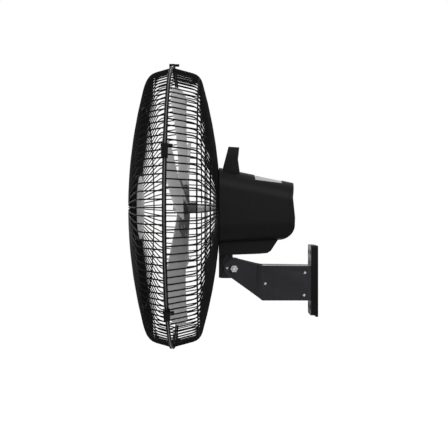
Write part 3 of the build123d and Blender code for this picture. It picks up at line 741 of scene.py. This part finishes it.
# %% [markdown]
# ## Hub
#
# The blades are riveted to the arms of a cast hub, and a slim boss joins the arms to the
# shaft. An arm lies flat against the back of its blade. It could be modelled once and turned
# into place by eye, but it seats exactly when it is drawn with the blade's own pitch.

# %% Hub
ARM, ARM_EDGE = 3.0 * MM, 0.6 * MM
ARM_INNER_R, ARM_OUTER_R, ARM_HALF, ARM_ROUNDING = 7 * MM, 80 * MM, 15 * MM, 6 * MM
HUB_BOSS_R, HUB_CORNER = 11 * MM, 1.2 * MM
STACK_X = (SHEET + ARM) / 2  # from the middle of the sheet to the middle of the arm
blade_angles = blade_angle(np.arange(BLADES))[:, None, None]
hub_low, hub_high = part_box("blade_hub")


def on_blade(r, aside, behind):
    """x of a point behind the flat root of a blade, at a radius and a length aside: the
    blade's own x there, which falls by the tangent of its pitch."""
    s = along_blade(r)
    return BLADE_X + RAKE * s - aside * np.tan(blade_pitch(s)) + behind


def arm_sheets():
    """Middle of every arm: a strip from the boss outwards, whose outer corners are drawn in
    by the fourth power of the place across."""
    u = np.linspace(0, 1, 12)[:, None]
    aside = np.linspace(ARM_HALF, -ARM_HALF, 9)[None, :]
    reach = ARM_OUTER_R - ARM_INNER_R - ARM_ROUNDING * (aside / ARM_HALF) ** 4
    r = ARM_INNER_R + reach * u
    return round_the_axis(on_blade(r, aside, STACK_X), r, blade_angles, aside)


arms = surface("hub_arms", arm_sheets(), ring=False)
thicken(arms, ARM, ARM_EDGE)
place(arms, "rotor", "hub_steel", "blade_hub")
boss = plain_disc(hub_low.x, hub_high.x, HUB_BOSS_R, HUB_CORNER)
place(surface("hub_boss", turned(boss)), "rotor", "hub_steel", "blade_hub")

# %% [markdown]
# ## Rivets
#
# Three rivets hold each blade. Both heads of a rivet are shallow domes, and the shank between
# them is hidden in the stack. So a rivet is a flattened ball that reaches through sheet and
# arm: two parameters, one from front to back and one round, and fifteen copies.

# %% Rivets
RIVET_R, RIVET_HALF = 3.4 * MM, 3.9 * MM
RIVET_OUT = np.array([58, 72, 72])[:, None, None] * MM
RIVET_ASIDE = np.array([0, 9, -9])[:, None, None] * MM
RIVET_POLE = 0.2             # radians left open at the ball's poles, which a face closes


def rivet_balls():
    """A flattened ball at each rivet: the cosine of the first angle runs along the axis, and
    its sine is the radius of the circle that the second angle goes round."""
    down = np.linspace(RIVET_POLE, np.pi - RIVET_POLE, 7)[:, None]
    turn = full_turn(12)[None, :]
    x = on_blade(RIVET_OUT, RIVET_ASIDE, STACK_X / 2) + RIVET_HALF * np.cos(down)
    out = RIVET_OUT + RIVET_R * np.sin(down) * np.cos(turn)
    aside = RIVET_ASIDE + RIVET_R * np.sin(down) * np.sin(turn)
    return round_the_axis(x, out, blade_angles[..., None], aside)


place(surface("rivet_heads", rivet_balls()), "rotor", "zinc", "blade_rivets")

# %% [markdown]
# ## Folded and moulded parts
#
# A brake press folds steel round a small radius, and a mould's corners are never quite
# sharp. The frame's pieces have knife edges, which catch no light and look like a drawing.
# Modelling them again would lose their exact seats. So each is replaced by a copy of itself:
# the loose triangles are merged, flat areas are made one face again, and a narrow Bevel
# rounds every edge that is steeper than the curves. The crank's link gets a wider one than
# it needs for its looks, because its end swings very close to the lower cover.

# %% Soft edged copies
CURVE_ANGLE = 32             # degrees; an edge steeper than this is a corner, not a curve
FLAT_ANGLE = 0.5             # degrees; faces closer than this are one flat
# The wall plate and its cover take the black coat: painted shade, not a colour of their own.
PAINTED_SHADE_FINISH = {"plate_cover": "plate_painted_shade", "wall_plate": "plate_painted_shade"}
SOFT_EDGES = {               # widths in millimetres
    "head": {"housing_shell": 1.2, "rear_cap": 1.6, "lower_cover": 1.4, "carry_handle": 2.4,
             "top_insert": 0.8, "guard_clips": 0.4, "swivel_block": 0.8,
             "motor_front_bell": 0.5},
    "tilt_neck": {"tilt_lug": 1.0},
    "bracket": {"arm_plate_left": 0.5, "arm_plate_right": 0.5, "arm_channel": 0.6,
                "plate_cover": 0.9, "wall_plate": 0.8},
    "link": {"crank_link": 1.3},
}


def softened(node_name, body, width):
    """A copy of a frame piece with its edges rounded by `width`."""
    obj = cleaned(node_name + "_softened", nodes[node_name].data.copy(), 2 * MERGE, FLAT_ANGLE,
                  CURVE_ANGLE)
    add_modifier(obj, "BEVEL", width=width, segments=2, limit_method="ANGLE",
                 angle_limit=math.radians(CURVE_ANGLE), harden_normals=True,
                 use_clamp_overlap=True, miter_outer="MITER_ARC")
    return place(obj, body, slot_of[node_name], node_name, finish=PAINTED_SHADE_FINISH.get(node_name))


for body_name, widths in SOFT_EDGES.items():
    for node_name, width in widths.items():
        softened(node_name, body_name, width * MM)

# %% [markdown]
# ## Screws of the arm
#
# Screws and nuts are small, but they catch the light, so they are the only bright marks on
# the arm. A screw could be a cylinder with a smaller one cut out of it. A profile turned
# round its own axis gives the dome and the recess at once, with clean faces, and a hexagon
# is the same shape with six flats cut on it.

# %% Turned fasteners
def turned_at(profile, spots, steps=20, flats=None):
    """Profiles (distance, radius) turned round axes that leave points, as (copies, rows,
    columns, xyz). With flats, the section is a hexagon of that width, cut off by the
    profile's own radius."""
    profile = np.asarray(profile, float)
    turn = full_turn(steps)
    radius = np.broadcast_to(profile[:, 1:], (len(profile), steps))
    if flats:
        sector = np.pi / 3
        radius = np.minimum(radius, flats / 2 / np.cos(turn % sector - sector / 2))
    spot, along = (np.array(part, float)[:, None, None] for part in zip(*spots))
    first = np.cross(along, (0, 0, 1))
    second = np.cross(along, first)
    return (spot + profile[:, None, :1] * along + (radius * np.cos(turn))[..., None] * first
            + (radius * np.sin(turn))[..., None] * second)


def button_screw(radius, height, shank, length):
    """Profile of a screw with a domed head and a round recess in it. The plain numbers are
    parts of the head's height and radius."""
    return np.array([(-length, POLE), (-length, shank), (0, shank), (0, radius),
                     (0.35 * height, radius), (0.75 * height, 0.8 * radius),
                     (height, 0.45 * radius), (0.55 * height, 0.38 * radius),
                     (0.55 * height, POLE)])


# %% Arm screws
ARM_SCREW = {"radius": 3.0 * MM, "height": 2.4 * MM, "shank": 2 * MM, "length": 7.5 * MM}
STOP_SCREW = {"radius": 2.8 * MM, "height": 2.2 * MM, "shank": 2 * MM, "length": 5 * MM}
SCREW_XZ = np.array([(-104.5, -6.4), (-26.6, 14.8), (-28.2, -29.2)]) * MM
screws_low, screws_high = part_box("arm_screws")
side_y = screws_high.y - ARM_SCREW["height"]
spots = [((x, side * side_y, z), (0, side, 0)) for x, z in SCREW_XZ for side in (-1, 1)]
place(surface("arm_screw_heads", turned_at(button_screw(**ARM_SCREW), spots)),
      "bracket", "zinc", "arm_screws")
stop_low, stop_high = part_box("tilt_stop_screw")
stop = ((stop_low.x + stop_high.x) / 2, stop_low.y + STOP_SCREW["height"],
        (stop_low.z + stop_high.z) / 2)
place(surface("stop_screw_head", turned_at(button_screw(**STOP_SCREW), [(stop, (0, -1, 0))])),
      "bracket", "zinc", "tilt_stop_screw")

# %% [markdown]
# ## Pivot
#
# The head nods on one bolt through the arm's ears, with a hexagon nut on the side that the
# picture shows. The corners of a real nut are cut off by a cone, which rounds its outline at
# both ends. The thread could be a helix. It is a stack of rings here, because only a few of
# them show behind the nut and a ring closes by itself.

# %% Pivot nut and bolt head
FLATS = 13 * MM
NUT_HOLE_R = 4 * MM
LEAD_IN, CORNER_CUT = 0.5 * MM, 0.8 * MM     # heights of the cones at both ends
nut_low, nut_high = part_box("pivot_nut")
bolt_low, bolt_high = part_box("pivot_bolt")
pivot_x, pivot_z = (nut_low.x + nut_high.x) / 2, (nut_low.z + nut_high.z) / 2


def hex_profile(height, hole):
    """A nut or a head: a cone, the full hexagon, a cone that takes off its corners, and a
    hole. `wide` reaches past the hexagon's corners, so there the flats alone count."""
    wide, cone = 0.6 * FLATS, 0.47 * FLATS
    return np.array([(0, hole), (0, cone), (LEAD_IN, wide), (height - CORNER_CUT, wide),
                     (height, cone), (height, hole + LEAD_IN), (height - LEAD_IN, hole)])


def hexagon(name, height, hole, y, way, node_name):
    """A nut or a head on the pivot, from a place on its axis towards +Y or -Y."""
    points = turned_at(hex_profile(height, hole), [((pivot_x, y, pivot_z), (0, way, 0))], 36,
                       FLATS)
    return place(surface(name, points), "bracket", "zinc", node_name)


head_y = -nut_high.y         # the head sits as far out as the nut does on the other side
hexagon("pivot_nut_hexagon", nut_high.y - nut_low.y, NUT_HOLE_R, nut_high.y, -1, "pivot_nut")
hexagon("pivot_bolt_head", bolt_high.y - head_y, POLE, head_y, 1, "pivot_bolt")

# %% Pivot bolt's shank
THREAD_PITCH, THREAD_DEPTH, THREAD_R = 1.25 * MM, 0.35 * MM, 3.95 * MM
TIP_LENGTH, TIP_END_R = 0.3 * MM, 3.3 * MM   # the small cone that ends the thread
step = np.arange(2 * int((head_y - bolt_low.y) / THREAD_PITCH))
thread = np.column_stack([step * THREAD_PITCH / 2, THREAD_R - THREAD_DEPTH * (step % 2)])
shank_end = thread[-1, 0] + TIP_LENGTH
shank = turned_at(np.concatenate([[(0, POLE)], thread, [(shank_end, TIP_END_R),
                                                        (shank_end, POLE)]]),
                  [((pivot_x, head_y, pivot_z), (0, -1, 0))], 24)
place(surface("pivot_bolt_shank", shank), "bracket", "zinc", "pivot_bolt")

# %% [markdown]
# ## Clip screws
#
# Six clips hold the two halves of the cage together. Each is drawn tight by a screw with a
# long barrel nut, which stands out behind the rim as a short peg. The plated screws are drawn
# in the cage's black paint: that black is a painted reflection, for the dark surroundings that
# the plated metal mirrors from this side. All six come from one profile: it is turned round a
# line beside the rim, and that line is carried to six angles.

# %% Clip screws
CLIPS, FIRST_CLIP, CLIP_ASIDE = 6, math.radians(19.3), 8.5 * MM
CLIP_SCREW_R = BAND_R + 1.6 * MM
HEAD_R, SHANK_R, BARREL_R = 2.4 * MM, 1.3 * MM, 2.5 * MM
CLIP_CORNER, BARREL_SIDES = 0.15 * MM, 14
SHOULDER_STEP = 0.2 * MM     # length over which one radius changes to the next
screw_low, screw_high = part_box("clip_screws")
head_start, head_end = screw_low.x + 1 * MM, screw_low.x + 2.2 * MM
barrel_start = RIM_X + 3 * MM
barrel = rounded([(head_start, POLE), (head_start, HEAD_R), (head_end, HEAD_R),
                  (head_end + SHOULDER_STEP, SHANK_R), (barrel_start, SHANK_R),
                  (barrel_start + SHOULDER_STEP, BARREL_R), (screw_high.x, BARREL_R),
                  (screw_high.x, POLE)], CLIP_CORNER, 2)


def clip_screws(profile):
    """The profile turned round a line that runs along X beside the rim, at each clip."""
    x, radius = profile[:, None, 0], profile[:, None, 1]
    turn = full_turn(BARREL_SIDES)
    angle = (FIRST_CLIP + 2 * np.pi / CLIPS * np.arange(CLIPS))[:, None, None]
    return round_the_axis(x, CLIP_SCREW_R + radius * np.cos(turn), angle,
                          CLIP_ASIDE + radius * np.sin(turn))


# The barrels wear the cage's black: a painted reflection of dark surroundings on plated metal.
place(surface("clip_barrels", clip_screws(barrel)), "head", "guard_black", "clip_screws")

# %% [markdown]
# ## World
#
# The picture is a product shot on pure white. A white world alone would flood black paint
# with light. So the world is white where the camera looks straight at it and where metal
# reflects it, and dimmer for the light that it gives.

# %% World
AMBIENT = 0.42
world = bpy.data.worlds.new("studio")
bpy.context.scene.world = world
world.use_nodes = True
sky = Shader(world.node_tree)
camera_ray, glossy_ray, passing_ray = (
    sky.node("ShaderNodeLightPath", output=f"Is {kind} Ray")
    for kind in ("Camera", "Glossy", "Transmission"))
seen = camera_ray.maths("MAXIMUM", glossy_ray.maths("MAXIMUM", passing_ray))
background = world.node_tree.nodes["Background"]
sky.feed(background.inputs["Color"], grey(1.0))
sky.feed(background.inputs["Strength"], AMBIENT + (1 - AMBIENT) * seen)
print(f"the world gives {AMBIENT:.0%} of the light that it shows")

# %% [markdown]
# ## Lamps
#
# One large soft lamp stands in front, to the right and high, so the broad faces get a slow
# gradient. A weaker one on the left and high fills the side that the fan blows to. A third
# stands behind and draws the far half of the cage. A single bare bulb would be simpler, but
# it would throw a hard shadow of every wire on the blades.

# %% Lamps
MIDDLE = Vector((-0.18, 0.0, 0.12))
LAMPS = {                    # place, size in metres, power in watts
    "key": ((0.9, -1.9, 1.3), 1.2, 26),
    "fill": ((-2.2, -0.4, 1.0), 1.4, 15),
    "back": ((-0.6, 2.0, 1.0), 1.4, 16),
}
for name, (position, size, watts) in LAMPS.items():
    lamp_data = bpy.data.lights.new(name, "AREA")
    lamp_data.size, lamp_data.energy = size, watts
    lamp = add_object(name, lamp_data)
    lamp.location = position
    lamp.rotation_euler = (MIDDLE - Vector(position)).to_track_quat("-Z", "Y").to_euler()
print(f"{len(LAMPS)} lamps")

# %% [markdown]
# ## Floor
#
# A fan on a wall hangs free, so the floor lies well below it and only gives soft light back.
# It could be left out, but the undersides would go dead. For the camera most of its colour
# is its own white glow, so that it melts into the background. The rest keeps the shadow.

# %% Floor
FLOOR_Z, FLOOR_HALF = -0.62, 6.0
FLOOR_GREY, GLOW, GLOW_SHARE = 0.8, 1.08, 0.9
corners = np.array([(-1, -1, 0), (1, -1, 0), (1, 1, 0), (-1, 1, 0)]) * FLOOR_HALF
floor_mesh = bpy.data.meshes.new("floor")
floor_mesh.from_pydata(corners + (0, 0, FLOOR_Z), [], [(0, 1, 2, 3)])
floor = add_object("floor", floor_mesh)
pale = Finish("pale_floor", 0.9, specular=0.0)
pale.set(Base_Color=grey(FLOOR_GREY))
seen_floor = pale.node("ShaderNodeLightPath", output="Is Camera Ray")
glow = pale.node("ShaderNodeEmission", None, {"Color": grey(1.0), "Strength": GLOW})
mixed = pale.node("ShaderNodeMixShader", None,
                  {0: seen_floor * GLOW_SHARE, 1: Signal(pale, pale.surface.outputs[0]), 2: glow})
pale.feed(pale.tree.nodes["Material Output"].inputs["Surface"], mixed)
floor_mesh.materials.append(pale.material)
print(f"floor {-FLOOR_Z:.2f} m below the middle of the wall plate")

# %% [markdown]
# ## Finish
#
# The colours are shown plainly, with the standard view transform, and the scene is brought up to
# date.

# %% Finish
bpy.context.scene.view_settings.view_transform = "Standard"
bpy.context.view_layer.update()
